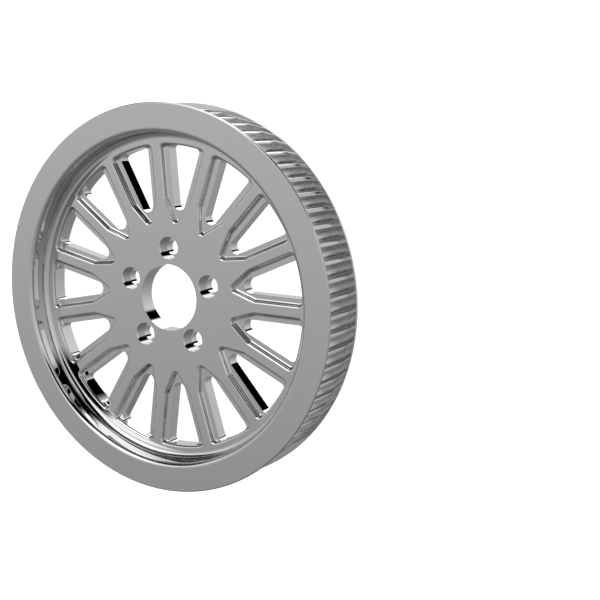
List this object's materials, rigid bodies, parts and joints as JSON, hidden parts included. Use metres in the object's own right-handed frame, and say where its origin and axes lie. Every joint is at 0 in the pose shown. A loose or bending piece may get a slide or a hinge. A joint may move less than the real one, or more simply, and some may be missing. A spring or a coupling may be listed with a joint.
{
  "type": "belt pulley",
  "caption": "Large toothed drive belt pulley in polished chrome, with flanged rim, dished web, stepped spoke windows, plain bore and counterbored bolt circle.",
  "frame": {"origin": "on the bore axis, in the plane of the rim's rear face, which the pulley lies on", "axes": "+Z along the bore axis, out of the dished front face; +Y through the first bolt hole"},
  "size_m": [0.3174, 0.3174, 0.0464],
  "materials": {
    "chrome_plate": "mirror polished chrome plate over machined aluminium"
  },
  "bodies": {
    "root": {"belt_pulley": "chrome_plate"}
  },
  "joints": []
}
